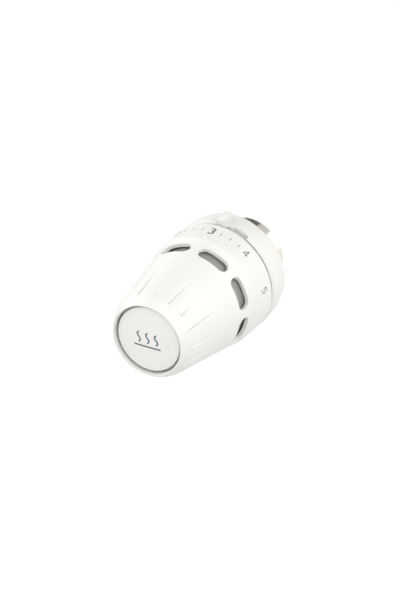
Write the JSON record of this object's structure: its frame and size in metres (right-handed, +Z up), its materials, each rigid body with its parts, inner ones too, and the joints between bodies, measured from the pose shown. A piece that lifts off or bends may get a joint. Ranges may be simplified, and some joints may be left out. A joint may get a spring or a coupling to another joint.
{
  "type": "thermostatic radiator valve head",
  "caption": "Thermostatic radiator valve head: slotted, grooved turning handle with a number scale, fixed collar with a pointer, sensor and screw mechanism inside, and a round union nut.",
  "frame": {"origin": "on the head's axis, in the plane where the neck of the base presses on the valve", "axes": "+Y along the head's axis, from the front cap to the union nut; +Z up, through the pointer; +X to the right as seen from the front cap"},
  "size_m": [0.0522, 0.0883, 0.0549],
  "materials": {
    "white_shell": "semi-gloss white moulded plastic",
    "cap": "satin off-white moulded plastic",
    "light_grey_plastic": "matt light grey moulded plastic",
    "grey_plastic": "matt grey moulded plastic",
    "nickel_plate": "polished nickel plate on brass",
    "brass": "turned brass",
    "copper_alloy": "drawn copper alloy",
    "steel": "bright spring steel",
    "blue_plastic": "matt blue plastic",
    "red_plastic": "matt red plastic"
  },
  "bodies": {
    "base": {"base_collar": "white_shell", "base_body": "light_grey_plastic", "handle_clip_ring": "steel", "nut_snap_ring": "steel", "pin_guide_bush": "brass"},
    "handle": {"grip_shell": "white_shell", "end_cap": "cap"},
    "setting_carriage": {"setting_sleeve": "grey_plastic", "sensor_capsule": "copper_alloy", "capsule_base": "brass", "capsule_fill_stub": "copper_alloy", "capsule_clip_ring": "steel", "bellows": "brass", "return_spring": "steel"},
    "rod": {"push_rod": "steel", "bellows_cup": "brass", "thrust_washer": "steel", "overtravel_spring": "steel"},
    "pin": {"pressure_pin": "steel", "overtravel_cup": "light_grey_plastic", "cup_clip_ring": "steel"},
    "nut": {"union_nut": "nickel_plate"},
    "limit_low": {"limit_pin_low": "blue_plastic"},
    "limit_high": {"limit_pin_high": "red_plastic"}
  },
  "joints": [
    {"name": "handle_turn", "type": "hinge", "parent": "base", "child": "handle", "pos_m": [0, -0.03, 0], "axis": [0, 1, 0], "range_deg": [-80, 120]},
    {"name": "setting_travel", "type": "slide", "parent": "handle", "child": "setting_carriage", "axis": [0, 1, 0], "range_m": [-0.00133, 0.002]},
    {"name": "sensor_stroke", "type": "slide", "parent": "setting_carriage", "child": "rod", "axis": [0, 1, 0], "range_m": [0, 0.0022], "stiffness_N_per_m": 1500, "deforming": ["return_spring", "bellows"]},
    {"name": "overtravel", "type": "slide", "parent": "rod", "child": "pin", "axis": [0, 1, 0], "range_m": [-0.002, 0], "stiffness_N_per_m": 3000, "deforming": ["overtravel_spring"]},
    {"name": "nut_spin", "type": "hinge", "parent": "base", "child": "nut", "pos_m": [0, 0, 0], "axis": [0, 1, 0], "continuous": true},
    {"name": "limit_low_pull", "type": "slide", "parent": "base", "child": "limit_low", "axis": [0, 1, 0], "range_m": [0, 0.012]},
    {"name": "limit_high_pull", "type": "slide", "parent": "base", "child": "limit_high", "axis": [0, 1, 0], "range_m": [0, 0.012]}
  ],
  "couplings": [
    {"joint": "handle_turn", "follows": "setting_travel", "rad_per_m": 1047.2}
  ]
}
